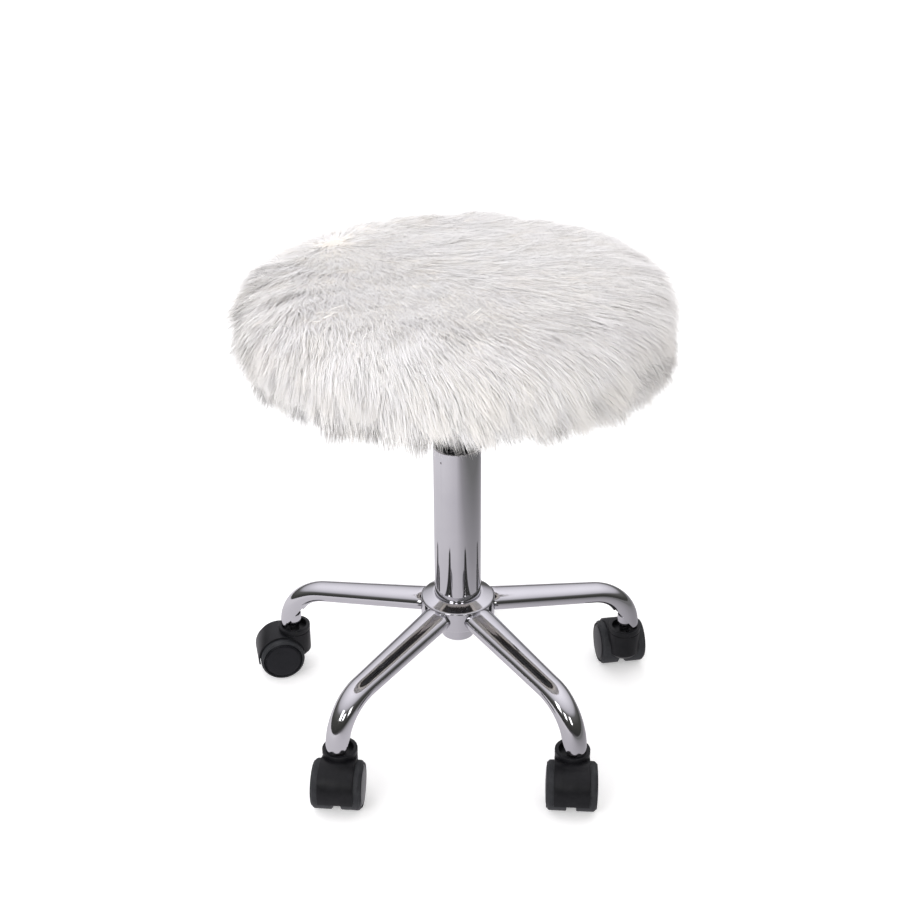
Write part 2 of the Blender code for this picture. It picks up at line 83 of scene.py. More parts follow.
# Castors, trailing along their own +X
CASTOR_TRAIL = (axle_point - stem_point).xy.length
WHEEL_R = joints["wheel_1_left_roll"]["pos_m"][2]
WHEEL_INNER_Y = 0.0045
WHEEL_OUTER_Y = 0.0266
CAP_R = 0.0215
AXLE_R = 0.0030
STEM_R = 0.0055
SLEEVE_R = 0.0085
COLLAR_R = 0.0180
COLLAR_Z = 0.0575
RECESS_R = 0.0142
HOOD_HALF_WIDTH = 0.0180
HOOD_R = 0.0274
WELL_R = 0.0257
WEB_HALF = 0.0030
HOOD_LIP_ANGLE = math.radians(-12.0)
HOOD_FRONT_Z = 0.0200
STEM_FOOT_Z = 0.0297

# Seat
LEVER_PIVOT = 0.0240
LEVER_R = 0.0022
GRIP_R = 0.0055
SKIN_R = 0.1930
LIP_R = 0.1555
PILE_ON_TOP = 0.0040  # how thick the combed pile lies over the crown
PILE_EVEN_R = 0.2220  # past this distance from the axis the strands reach out less
REACH_PAST = 0.6  # the share of their reach that they keep past it
PILE_EVEN_Z = 0.5200  # past this height the strands rise less
RISE_LOST = 0.55  # the share of their rise that they lose past it
SWEEP = 0.80  # how strongly the pile is combed to one way, and which way that is
SWEEP_WAY = -0.50
OWN_ROLL = 0.16  # how far a strand turns about itself, in radians
ROOT_DEPTH = 0.0015  # how deep in the skin a strand starts
TIP_HALF = 0.00003  # half the width that a strand keeps at its tip
WHORL_FLOW = 0.30  # where the combing cancels out to less than about this, the pile forms a whorl
HEM_R = 0.1300  # how far in under the board the cover's edge reaches
HEM_SIDES = 368
STAPLES = 30
PLEAT_TOP_Z = 0.4520
PLEAT_DEPTH = 0.0013
FURRED_Z = 0.4750  # faces that look up from above this height carry pile
OWN_NORMAL = 0.08  # a strand's own share in its shading normal; the rest is its skin's
CUSHION_VOXEL = 0.0050
CUSHION_CAP = 0.0030  # how far the filling may push the skin out


# Meshes


def new_object(name, mesh):
    ob = bpy.data.objects.new(name, mesh)
    scene.collection.objects.link(ob)
    return ob


def evaluated(ob, name):
    """The mesh that an object's modifiers make; the object is removed."""
    bpy.context.view_layer.update()
    graph = bpy.context.evaluated_depsgraph_get()
    mesh = bpy.data.meshes.new_from_object(ob.evaluated_get(graph))
    mesh.name = name
    bpy.data.objects.remove(ob, do_unlink=True)
    return mesh


def read(items, key, width=3, kind=float):
    """One row for each item of a mesh's collection."""
    values = np.zeros(len(items) * width, kind)
    items.foreach_get(key, values)
    return values.reshape(-1, width)


def shaded(mesh, degrees=32.0):
    mesh.shade_smooth()
    mesh.set_sharp_from_angle(angle=math.radians(degrees))
    return mesh


def arc(centre, radius, start, end, count):
    """Points on an arc from start to end, both in degrees."""
    turns = [math.radians(start + (end - start) * i / (count - 1)) for i in range(count)]
    return [(centre[0] + radius * math.cos(t), centre[1] + radius * math.sin(t)) for t in turns]


def rounded(points, radius, count=4):
    """A profile with its corners rounded; the first and last points stay."""
    out = [points[0]]
    for before, here, after in zip(points, points[1:], points[2:]):
        corner = Vector(here)
        to_before, to_after = Vector(before) - corner, Vector(after) - corner
        reach = min(radius, to_before.length * 0.45, to_after.length * 0.45)
        start = corner + to_before.normalized() * reach
        end = corner + to_after.normalized() * reach
        for i in range(count + 1):
            t = i / count
            out.append(tuple(start * (1 - t) ** 2 + corner * 2 * t * (1 - t) + end * t * t))
    out.append(points[-1])
    return out


def mesh_of(name, bm):
    """The mesh of a finished bmesh, which is freed."""
    mesh = bpy.data.meshes.new(name)
    bm.to_mesh(mesh)
    bm.free()
    return mesh


def bridge(bm, loops):
    """Quads between each closed ring of points and the next one, the last joined to the first."""
    for ring, following in zip(loops, loops[1:] + loops[:1]):
        for i in range(len(ring)):
            j = (i + 1) % len(ring)
            bm.faces.new((ring[i], ring[j], following[j], following[i]))
    bmesh.ops.recalc_face_normals(bm, faces=bm.faces)


def turned(name, profile, segments=ROUND, closed=False, matrix=None):
    """A profile of (radius, height) pairs turned about Z."""
    rings = np.array(profile, float)
    turns = np.arange(segments) * math.tau / segments
    bm = bmesh.new()
    rows = []
    for radius, height in rings:
        if radius < 1e-7:
            rows.append([bm.verts.new((0.0, 0.0, height))])
        else:
            rows.append(
                [bm.verts.new((radius * math.cos(t), radius * math.sin(t), height)) for t in turns]
            )
    pairs = list(zip(rows, rows[1:])) + ([(rows[-1], rows[0])] if closed else [])
    for upper, lower in pairs:
        for i in range(segments):
            j = (i + 1) % segments
            ring = [upper[i % len(upper)], upper[j % len(upper)]]
            ring += [lower[j % len(lower)], lower[i % len(lower)]]
            corners = list(dict.fromkeys(ring))
            if len(corners) > 2:
                bm.faces.new(corners)
    bmesh.ops.recalc_face_normals(bm, faces=bm.faces)
    mesh = mesh_of(name, bm)
    if matrix is not None:
        mesh.transform(matrix)
    return shaded(mesh)


def plug(radius, top, bottom):
    """The profile of a plain cylinder."""
    return [(0.0, top), (radius, top), (radius, bottom), (0.0, bottom)]


def turned_ring(name, profile, radius, segments=ROUND):
    """A closed profile turned about Z, its corners rounded but for the first."""
    return turned(name, rounded([*profile, profile[0]], radius)[:-1], segments, closed=True)


def extruded(name, points, half, bevel=0.0):
    """A flat outline in XZ, extruded both ways along Y, its edges bevelled."""
    bm = bmesh.new()
    ring = [bm.verts.new((x, -half, z)) for x, z in points]
    face = bm.faces.new(ring)
    made = bmesh.ops.extrude_face_region(bm, geom=[face])
    moved = [v for v in made["geom"] if isinstance(v, bmesh.types.BMVert)]
    bmesh.ops.translate(bm, verts=moved, vec=(0.0, 2 * half, 0.0))
    bmesh.ops.recalc_face_normals(bm, faces=bm.faces)
    if bevel:
        rims = [e for e in bm.edges if all(abs(abs(v.co.y) - half) < 1e-7 for v in e.verts)]
        rims = [e for e in rims if abs(e.verts[0].co.y - e.verts[1].co.y) < 1e-7]
        bmesh.ops.bevel(
            bm, geom=rims, offset=bevel, segments=3, profile=0.5, affect="EDGES", clamp_overlap=True
        )
    return mesh_of(name, bm)


def combined(name, base, steps, bevel=0.0):
    """The base mesh with Booleans: steps are (operation, mesh) pairs."""
    ob = new_object(name, base)
    tools = []
    for operation, mesh in steps:
        tool = new_object(name + "_tool", mesh)
        boolean = ob.modifiers.new(operation, "BOOLEAN")
        boolean.operation = operation
        boolean.solver = "EXACT"
        boolean.object = tool
        tools.append(tool)
    if bevel:
        edge = ob.modifiers.new("Bevel", "BEVEL")
        edge.width = bevel
        edge.segments = 2
        edge.limit_method = "ANGLE"
        edge.angle_limit = math.radians(40.0)
        edge.use_clamp_overlap = True
    mesh = evaluated(ob, name)
    for tool in tools:
        bpy.data.objects.remove(tool, do_unlink=True)
    return shaded(mesh)


def piece(name, mesh, material, body, nodes=(), matrix=None):
    """A shown piece in place on its body, in front of the frame's own node."""
    ob = new_object(name, mesh)
    if matrix is not None:
        ob.matrix_world = matrix
    if ob.data.materials:
        ob.data.materials[0] = material
    else:
        ob.data.materials.append(material)
    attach(ob, body)
    if nodes:
        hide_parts(*nodes)
    return ob


# Materials


class Tree:
    """A node tree, with short ways to add and join nodes."""

    def __init__(self, tree):
        self.tree = tree

    def add(self, kind, **values):
        node = self.tree.nodes.new("ShaderNode" + kind)
        for key, value in values.items():
            setattr(node, key, value)
        return node

    def join(self, output, target):
        self.tree.links.new(output, target)

    def give(self, value, target):
        """Join an output to an input, or set the input to a number or a colour."""
        if isinstance(value, bpy.types.NodeSocket):
            self.join(value, target)
        else:
            target.default_value = (*value, 1.0) if isinstance(value, tuple) else value

    def ramp(self, value, *stops):
        """A colour ramp; a stop is (position, grey or colour)."""
        node = self.add("ValToRGB")
        elements = node.color_ramp.elements
        while len(elements) < len(stops):
            elements.new(0.5)
        for element, (position, tone) in zip(elements, stops):
            element.position = position
            colour = tone if isinstance(tone, tuple) else (tone,) * 3
            element.color = (*colour, 1.0)
        self.join(value, node.inputs["Fac"])
        return node.outputs["Color"]

    def scaled(self, value, factor, start):
        """A value times a factor plus a start, which is a number or an output."""
        node = self.add("Math", operation="MULTIPLY_ADD")
        for given, target in zip((value, factor, start), node.inputs):
            self.give(given, target)
        return node.outputs[0]

    def blend(self, share, first, second):
        """A mix of two shaders' outputs."""
        node = self.add("MixShader")
        for output, target in zip((share, first, second), node.inputs):
            self.join(output, target)
        return node.outputs[0]


class Nodes(Tree):
    """A material's nodes."""

    def __init__(self, name):
        self.material = bpy.data.materials.new(name)
        self.material.use_nodes = True
        super().__init__(self.material.node_tree)
        self.shader = self.tree.nodes["Principled BSDF"]
        self.place = self.add("TexCoord").outputs["Object"]

    def stretched(self, scale):
        mapping = self.add("Mapping")
        mapping.inputs["Scale"].default_value = scale
        self.join(self.place, mapping.inputs["Vector"])
        return mapping.outputs["Vector"]

    def noise(self, scale, detail=4.0, stretch=None, roughness=0.55):
        node = self.add("TexNoise")
        node.inputs["Scale"].default_value = scale
        node.inputs["Detail"].default_value = detail
        node.inputs["Roughness"].default_value = roughness
        self.join(self.stretched(stretch) if stretch else self.place, node.inputs["Vector"])
        return node.outputs["Fac"]

    def mix(self, share, first, second, blend="MIX"):
        node = self.add("Mix", data_type="RGBA", blend_type=blend)
        for value, socket in ((share, 0), (first, 6), (second, 7)):
            self.give(value, node.inputs[socket])
        return node.outputs[2]

    def bump(self, height, strength, distance):
        node = self.add("Bump")
        node.inputs["Strength"].default_value = strength
        node.inputs["Distance"].default_value = distance
        self.join(height, node.inputs["Height"])
        self.join(node.outputs["Normal"], self.shader.inputs["Normal"])

    def finish(self, colour=None, roughness=None, **sockets):
        """The material, with its main sockets joined and the others set."""
        if colour is not None:
            self.join(colour, self.shader.inputs["Base Color"])
        if roughness is not None:
            self.join(roughness, self.shader.inputs["Roughness"])
        for key, value in sockets.items():
            self.give(value, self.shader.inputs[key.replace("_", " ")])
        return self.material


def chrome_finish():
    """Bright plating with a faint orange-peel ripple, smudges and fine wipe marks."""
    nodes = Nodes("chrome_plating")
    smudge = nodes.noise(16.0, 5.0)
    wipes = nodes.noise(900.0, 2.0, (1.0, 1.0, 0.06))
    tone = nodes.ramp(smudge, (0.30, (0.600, 0.592, 0.618)), (0.70, (0.650, 0.642, 0.665)))
    rough = nodes.ramp(nodes.mix(0.3, smudge, wipes), (0.35, 0.045), (0.75, 0.11))
    nodes.bump(nodes.noise(60.0, 3.0), 0.05, 0.0006)
    return nodes.finish(tone, rough, Metallic=1.0)


def steel_finish(name, low, high, rough_low, rough_high):
    """Turned steel: fine rings across the axis, with a little oil."""
    nodes = Nodes(name)
    rings = nodes.noise(1400.0, 2.0, (0.05, 0.05, 1.0))
    oil = nodes.noise(40.0, 4.0)
    tone = nodes.ramp(nodes.mix(0.4, rings, oil), (0.3, low), (0.7, high))
    rough = nodes.ramp(oil, (0.3, rough_low), (0.7, rough_high))
    nodes.bump(rings, 0.15, 0.0002)
    return nodes.finish(tone, rough, Metallic=1.0)


def powder_coat_finish():
    """Black powder coat: a pebbled skin, greyer on handled spots."""
    nodes = Nodes("black_powder_coat")
    pebble = nodes.noise(1500.0, 2.0)
    wear = nodes.noise(35.0, 6.0)
    tone = nodes.ramp(wear, (0.35, (0.018, 0.018, 0.019)), (0.75, (0.045, 0.045, 0.047)))
    rough = nodes.ramp(wear, (0.3, 0.42), (0.7, 0.58))
    nodes.bump(pebble, 0.35, 0.0002)
    return nodes.finish(tone, rough, Metallic=0.0)


def moulded_finish(name, low, high, rough_low, rough_high, grain=2200.0, strength=0.25):
    """Moulded plastic or rubber: spark-eroded grain, scuffs and a little dust."""
    nodes = Nodes(name)
    scuffs = nodes.noise(70.0, 6.0, roughness=0.7)
    fine = nodes.noise(grain, 2.0)
    tone = nodes.ramp(scuffs, (0.40, low), (0.78, high))
    rough = nodes.ramp(nodes.mix(0.4, scuffs, fine), (0.3, rough_low), (0.7, rough_high))
    nodes.bump(fine, strength, 0.00015)
    return nodes.finish(tone, rough, Specular_IOR_Level=0.22)


def plywood_finish():
    """Plywood stained black: long face grain, and thin paler plies at the edge."""
    nodes = Nodes("stained_plywood")
    grain = nodes.noise(55.0, 6.0, (1.0, 0.05, 1.0))
    plies = nodes.add("TexWave", wave_type="BANDS", bands_direction="Z")
    plies.inputs["Scale"].default_value = 110.0
    plies.inputs["Distortion"].default_value = 0.6
    nodes.join(nodes.place, plies.inputs["Vector"])
    face = nodes.ramp(grain, (0.3, (0.020, 0.018, 0.017)), (0.7, (0.050, 0.043, 0.038)))
    edge = nodes.ramp(plies.outputs["Fac"], (0.3, (0.60, 0.56, 0.52)), (0.7, (1.0, 1.0, 1.0)))
    tone = nodes.mix(0.5, face, edge, "MULTIPLY")
    rough = nodes.ramp(grain, (0.3, 0.6), (0.7, 0.8))
    nodes.bump(grain, 0.4, 0.0004)
    return nodes.finish(tone, rough)


def backing_finish():
    """The pile's knitted backing: small loops, off-white with a warm cast."""
    nodes = Nodes("fur_backing")
    loops = nodes.add("TexVoronoi")
    loops.inputs["Scale"].default_value = 420.0
    nodes.join(nodes.place, loops.inputs["Vector"])
    blotch = nodes.noise(22.0, 4.0)
    tone = nodes.ramp(blotch, (0.3, (0.74, 0.69, 0.63)), (0.7, (0.84, 0.80, 0.76)))
    rough = nodes.ramp(loops.outputs["Distance"], (0.2, 0.95), (0.8, 0.8))
    nodes.bump(loops.outputs["Distance"], 0.6, 0.0006)
    return nodes.finish(tone, rough)


def pile_finish(name, colour):
    """Acrylic pile: the strips themselves carry the texture, each piece in its own tint; the cool
    and warm tints are partly painted light.
    """
    soft = {"Roughness": 0.72, "Specular_IOR_Level": 0.25}
    sheen = {"Sheen_Weight": 0.25, "Sheen_Roughness": 0.45}
    return Nodes(name).finish(Base_Color=colour, **soft, **sheen)


chrome = chrome_finish()
steel = steel_finish("turned_steel", (0.42, 0.42, 0.43), (0.58, 0.58, 0.59), 0.22, 0.36)
cylinder_steel = steel_finish("ground_steel", (0.34, 0.34, 0.36), (0.46, 0.46, 0.48), 0.2, 0.32)
powder_coat = powder_coat_finish()
hood_plastic = moulded_finish(
    "hood_nylon", (0.0060, 0.0062, 0.0075), (0.013, 0.013, 0.015), 0.30, 0.44
)
cap_plastic = moulded_finish(
    "cap_nylon", (0.0060, 0.0065, 0.0085), (0.011, 0.011, 0.014), 0.24, 0.38, 2600.0, 0.15
)
bush_plastic = moulded_finish(
    "acetal", (0.012, 0.012, 0.013), (0.028, 0.028, 0.030), 0.35, 0.5
)
tread_rubber = moulded_finish(
    "tread_rubber", (0.022, 0.023, 0.026), (0.042, 0.044, 0.048), 0.42, 0.60, 1500.0, 0.4
)
plywood = plywood_finish()
backing = backing_finish()


# Arms and stem sleeves


def between(first, last, share):
    return [a + (b - a) * share for a, b in zip(first, last)]


def arm_stations(straight=14, bend=26):
    """Distance out, height, downward tilt and the oval's half sizes along an arm."""
    bend_out = ARM_END_R - ARM_BEND_R * (1.0 - math.sin(ARM_SLOPE))
    bend_z = ARM_HUB_Z - math.tan(ARM_SLOPE) * (bend_out - HUB_R)
    centre_z = bend_z - ARM_BEND_R * math.cos(ARM_SLOPE)
    made = []
    for i in range(straight):
        share = -0.05 + 1.05 * i / straight
        out = HUB_R + (bend_out - HUB_R) * share
        z = ARM_HUB_Z - math.tan(ARM_SLOPE) * (out - HUB_R)
        made.append((out, z, ARM_SLOPE, *between(ARM_HUB_HALF, ARM_BEND_HALF, share)))
    for i in range(bend + 1):
        share = i / bend
        tilt = ARM_SLOPE + (math.pi / 2 - ARM_SLOPE) * share
        out = ARM_END_R - ARM_BEND_R + ARM_BEND_R * math.sin(tilt)
        z = centre_z + ARM_BEND_R * math.cos(tilt)
        ease = share * share * (3 - 2 * share)
        made.append((out, z, tilt, *between(ARM_BEND_HALF, ARM_END_HALF, ease)))
    made.append((ARM_END_R, ARM_END_Z, math.pi / 2, *ARM_END_HALF))
    return made


def arm_ring(bm, station, inset, sides=64):
    out, z, tilt, half_width, half_height = station
    up = Vector((math.sin(tilt), 0.0, math.cos(tilt)))
    middle = Vector((out, 0.0, z))
    ring = []
    for i in range(sides):
        turn = math.tau * i / sides
        place = middle + up * (half_height - inset) * math.cos(turn)
        place.y = (half_width - inset) * math.sin(turn)
        ring.append(bm.verts.new(place))
    return ring


def arm_mesh():
    """The bent tube, cut to the hub's wall and notched over the castor's stem."""
    bm = bmesh.new()
    outer = [arm_ring(bm, station, 0.0) for station in arm_stations()]
    inner = [arm_ring(bm, station, ARM_WALL) for station in arm_stations()]
    bridge(bm, outer + inner[::-1])
    tube = mesh_of("arm_tube", bm)
    saddle = turned("saddle", plug(HUB_R + GAP, 0.18, 0.08), 128)
    inner, outer, low = ARM_END_R - NOTCH_INNER, ARM_END_R + NOTCH_OUTER, ARM_END_Z - 0.001
    wedge = [(inner, NOTCH_Z), (inner, low), (outer, low)]
    notch = extruded("notch", wedge, ARM_END_HALF[0] + 0.004)
    return combined("arm", tube, [("DIFFERENCE", saddle), ("DIFFERENCE", notch)], 0.00025)


def sleeve_mesh():
    """A drawn sleeve with a rolled top edge."""
    bore = STEM_R + GAP
    high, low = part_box("stem_sleeve_1")[1].z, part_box("stem_sleeve_1")[0].z
    profile = [(bore, high), (SLEEVE_R, high), (SLEEVE_R, low), (bore, low)]
    return turned_ring("stem_sleeve", profile, 0.0008, 48)


def castor_place(number):
    """A castor's stem point and the direction its wheels trail, from its joints."""
    stem = Vector(joints[f"castor_{number}_swivel"]["pos_m"])
    axle = Vector(joints[f"wheel_{number}_left_roll"]["pos_m"])
    return stem, axle, math.atan2(axle.y - stem.y, axle.x - stem.x)


def build_arms():
    arm, sleeve = arm_mesh(), sleeve_mesh()
    for number in range(1, 6):
        stem, _, _ = castor_place(number)
        turn = Matrix.Rotation(math.atan2(stem.y, stem.x), 4, "Z")
        piece(f"arm_{number}_tube", arm.copy(), chrome, "base", [f"arm_{number}"], turn)
        at = Matrix.Translation((stem.x, stem.y, 0.0))
        nodes = [f"stem_sleeve_{number}"]
        piece(f"sleeve_{number}", sleeve.copy(), chrome, "base", nodes, at)


# Hub and column


def build_hub():
    low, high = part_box("hub_shell")[0].z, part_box("hub_shell")[1].z
    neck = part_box("column_tube")[1].x + GAP
    shell = [
        (neck, high),
        (neck + 0.0020, high),
        (HUB_TOP_R, high - 0.0044),
        (HUB_R, high - 0.0060),
        (HUB_R, low + 0.0012),
        (HUB_R - 0.0014, low),
        (HUB_BORE_R, low),
        (HUB_BORE_R, high - 0.0056),
        (neck, high - 0.0036),
    ]
    mesh = turned_ring("hub_ring", shell, 0.0007, 128)
    piece("hub_ring", mesh, chrome, "base", ["hub_shell"])
    socket_r = HUB_BORE_R - GAP
    floor_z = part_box("column_tube")[0].z - GAP
    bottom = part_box("hub_socket")[0].z
    hole = 0.0095
    socket = [
        (neck, high - 0.0066),
        (socket_r, high - 0.0066),
        (socket_r, low + 0.0002),
        (BOSS_R, low - 0.0045),
        (BOSS_R, bottom),
        (hole, bottom),
        (hole, floor_z),
        (neck, floor_z),
    ]
    mesh = turned_ring("hub_boss", socket, 0.0012)
    piece("hub_boss", mesh, chrome, "base", ["hub_socket"])


def build_column():
    """The outer tube, with a rolled rim and a small dimple pressed into its wall."""
    low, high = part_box("column_tube")[0].z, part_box("column_tube")[1].z
    radius, wall, floor, hole = 0.0250, 0.0018, 0.0030, 0.0062
    bore = radius - wall
    tube = [
        (bore, high),
        (radius, high),
        (radius, low),
        (hole, low),
        (hole, low + floor),
        (bore, low + floor),
    ]
    mesh = turned_ring("column", tube, 0.0009, 128)
    across = Matrix.Rotation(math.radians(-127.6), 4, "Z") @ Matrix.Rotation(math.pi / 2, 4, "Y")
    pit = Matrix.Translation((0.0, 0.0, high - 0.0115)) @ across
    dimple = turned("dimple", plug(0.0011, radius + 0.002, radius - 0.0012), 24, matrix=pit)
    mesh = combined("column", mesh, [("DIFFERENCE", dimple)])
    piece("column", mesh, chrome, "base", ["column_tube"])
    bush_low, bush_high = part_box("guide_bush")[0].z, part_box("guide_bush")[1].z
    inner, outer = 0.0143, bore - GAP
    bush = [
        (inner, bush_high - 0.002),
        (inner + 0.0012, bush_high),
        (outer, bush_high),
        (outer, bush_low),
        (inner, bush_low),
    ]
    mesh = turned_ring("column_bush", bush, 0.0005)
    piece("column_bush", mesh, bush_plastic, "base", ["guide_bush"])


def build_cylinder():
    """The gas cylinder with its taper, and the groove under it."""
    low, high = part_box("gas_cylinder")[0].z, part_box("gas_cylinder")[1].z
    radius, taper_r, taper_z, hole = 0.0140, 0.0126, 0.3980, 0.0043
    body = [
        (hole, high),
        (taper_r, high),
        (radius, taper_z),
        (radius - 0.0006, taper_z - 0.0010),
        (radius - 0.0006, taper_z - 0.0030),
        (radius, taper_z - 0.0040),
        (radius, low),
        (0.0053, low),
        (0.0053, low + 0.0100),
        (0.0120, low + 0.0100),
        (0.0120, high - 0.0250),
        (hole, high - 0.0180),
    ]
    mesh = turned_ring("lift_cylinder", body, 0.0005)
    piece("lift_cylinder", mesh, cylinder_steel, "seat", ["gas_cylinder"])


# Castors


def hood_mesh():
    """The hood over both wheels, the web between them, and the collar round the stem."""
    axle = (CASTOR_TRAIL, WHEEL_R)
    lip = math.degrees(HOOD_LIP_ANGLE)
    outline = [(0.0, COLLAR_Z - 0.010)]
    outline += arc(axle, HOOD_R, 100.0, lip, 40)
    outline += arc(axle, WELL_R, lip, lip + 3.0, 2)
    outline += arc(axle, 0.0120, -10.0, -170.0, 16)
    outline += [(0.0, HOOD_FRONT_Z)]
    hood = extruded("hood", outline, HOOD_HALF_WIDTH, 0.0011)
    foot = HOOD_FRONT_Z
    ring_z = COLLAR_Z - 0.0052
    collar = [
        (0.0, COLLAR_Z),
        (COLLAR_R, COLLAR_Z),
        (COLLAR_R, ring_z),
        (COLLAR_R - 0.0009, ring_z - 0.0003),
        (COLLAR_R - 0.0009, ring_z - 0.0012),
        (COLLAR_R - 0.0002, ring_z - 0.0015),
        (COLLAR_R - 0.0002, foot + 0.005),
        (COLLAR_R - 0.0045, foot),
        (0.0, foot),
    ]
    steps = [("UNION", turned("collar", rounded(collar, 0.0007, 3), 64))]
    recess = plug(RECESS_R, COLLAR_Z + 0.01, COLLAR_Z - 0.006)
    steps.append(("DIFFERENCE", turned("recess", recess, 64)))
    eye = plug(STEM_R + GAP, COLLAR_Z, STEM_FOOT_Z)
    steps.append(("DIFFERENCE", turned("eye", eye, 32)))
    across = Matrix.Rotation(math.pi / 2, 4, "X")
    sideways = Matrix.Translation((CASTOR_TRAIL, 0.0, WHEEL_R)) @ across
    for side in (-1, 1):
        near, far = side * WEB_HALF, side * (HOOD_HALF_WIDTH + 0.004)
        steps.append(("DIFFERENCE", turned("well", plug(WELL_R, far, near), matrix=sideways)))
    hole = plug(AXLE_R + GAP, 0.01, -0.01)
    steps.append(("DIFFERENCE", turned("axle_hole", hole, 32, matrix=sideways)))
    return combined("castor_hood", hood, steps, 0.0003)


def wheel_body_mesh():
    """One wheel's body: a shallow domed cap with a fine groove near its rim."""
    bore = AXLE_R + GAP
    outer, axle_end = WHEEL_OUTER_Y, WHEEL_OUTER_Y - 0.0060
    dome = [(CAP_R * s, outer - 0.0010 * s * s) for s in (0.0, 0.2, 0.4, 0.6, 0.8)]
    groove = CAP_R - 0.0022
    rim = [
        (groove, outer - 0.0010),
        (groove + 0.0002, outer - 0.0018),
        (groove + 0.0007, outer - 0.0018),
        (groove + 0.0010, outer - 0.0014),
        (CAP_R, outer - 0.0024),
        (CAP_R, WHEEL_INNER_Y + 0.0015),
        (CAP_R - 0.0020, WHEEL_INNER_Y + 0.0004),
        (CAP_R - 0.0040, WHEEL_INNER_Y + 0.0030),
        (bore + 0.0040, WHEEL_INNER_Y + 0.0030),
        (bore + 0.0030, WHEEL_INNER_Y),
        (bore, WHEEL_INNER_Y),
        (bore, axle_end),
        (0.0, axle_end),
    ]
    return turned("castor_wheel", rounded(dome + rim, 0.0004, 3))


def tyre_mesh():
    """The soft tyre, with a full round shoulder on its outer side."""
    inner = CAP_R + GAP
    low, high = WHEEL_INNER_Y + 0.0004, WHEEL_OUTER_Y - 0.0010
    shoulder, fillet = 0.0030, 0.0010
    profile = [(inner, high - 0.0012), (inner + 0.0006, high - 0.0002)]
    profile += arc((WHEEL_R - shoulder, high - 0.0042), shoulder, 70.0, 0.0, 8)
    profile += arc((WHEEL_R - fillet, low + fillet), fillet, 0.0, -90.0, 5)
    return turned("castor_tyre", [*profile, (inner, low)], closed=True)


def build_castors():
    hood, wheel, tyre = hood_mesh(), wheel_body_mesh(), tyre_mesh()
    for number in range(1, 6):
        stem, axle, way = castor_place(number)
        turn = Matrix.Rotation(way, 4, "Z")
        at = Matrix.Translation((stem.x, stem.y, 0.0)) @ turn
        body = f"castor_{number}"
        nodes = [f"{body}_housing"]
        piece(f"{body}_hood", hood.copy(), hood_plastic, body, nodes, at)
        for side, sense in (("left", 1), ("right", -1)):
            lay = Matrix.Rotation(-sense * math.pi / 2, 4, "X")
            place = Matrix.Translation(axle) @ turn @ lay
            rolls = f"wheel_{number}_{side}"
            nodes = [f"{body}_wheel_{side}"]
            name = f"{body}_{side}_body"
            piece(name, wheel.copy(), cap_plastic, rolls, nodes, place)
            nodes = [f"{body}_tread_{side}"]
            piece(f"{body}_{side}_tyre", tyre.copy(), tread_rubber, rolls, nodes, place)


# Under the seat


def tube_along(name, points, radius, sides=16):
    """A round rod through the points, with rounded ends."""
    curve = bpy.data.curves.new(name, "CURVE")
    curve.dimensions = "3D"
    curve.bevel_depth = radius
    curve.bevel_resolution = sides // 4
    curve.use_fill_caps = True
    curve.resolution_u = 12
    spline = curve.splines.new("NURBS")
    spline.points.add(len(points) - 1)
    for point, place in zip(spline.points, points):
        point.co = (*place, 1.0)
    spline.order_u = 4
    spline.use_endpoint_u = True
    return shaded(evaluated(new_object(name, curve), name), 50.0)


def build_lever():
    """The bent rod, its cross pin, and a ribbed grip on its end."""
    pivot = Vector(joints["lever_pull"]["pos_m"])
    way = math.atan2(pivot.y, pivot.x)
    turn = Matrix.Rotation(way, 4, "Z")
    high, low = pivot.z, (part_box("lever_grip")[0].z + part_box("lever_grip")[1].z) / 2
    bend_out, drop_out, reach = 0.050, 0.090, 0.190
    points = [(-0.0015, 0.0, high), (0.020, 0.0, high), (bend_out, 0.0, high)]
    points += [(bend_out + 0.012, 0.0, high), (drop_out - 0.012, 0.0, low)]
    points += [(drop_out, 0.0, low), (reach - 0.02, 0.0, low), (reach - 0.004, 0.0, low)]
    rod = tube_along("lever_rod", points, LEVER_R)
    piece("lever_rod", rod, powder_coat, "height_lever", ["lever"], turn)
    ends = 0.0085
    across = Matrix.Translation((LEVER_PIVOT, 0.0, high)) @ Matrix.Rotation(math.pi / 2, 4, "X")
    profile = rounded(plug(LEVER_R, ends, -ends), 0.0004)
    pin = turned("lever_pin", profile, 32, matrix=across)
    piece("lever_pin", pin, steel, "height_lever", (), turn)
    length, hole = 0.0450, LEVER_R + GAP
    side = [(0.0, 0.0), (GRIP_R - 0.0012, 0.0), (GRIP_R, -0.0015)]
    for rib in range(8):
        z = -0.006 - rib * 0.0042
        side += [(GRIP_R, z), (GRIP_R - 0.0005, z - 0.0008), (GRIP_R - 0.0005, z - 0.0018)]
        side += [(GRIP_R, z - 0.0026)]
    side += [(GRIP_R, -length + 0.0015), (GRIP_R - 0.0015, -length), (hole, -length)]
    side += [(hole, -0.0030), (0.0, -0.0030)]
    lay = Matrix.Translation((reach, 0.0, low)) @ Matrix.Rotation(math.pi / 2, 4, "Y")
    grip = turned("lever_handle", side, 48, matrix=lay)
    piece(
        "lever_handle", grip, bush_plastic, "height_lever", ["lever_grip"], turn
    )


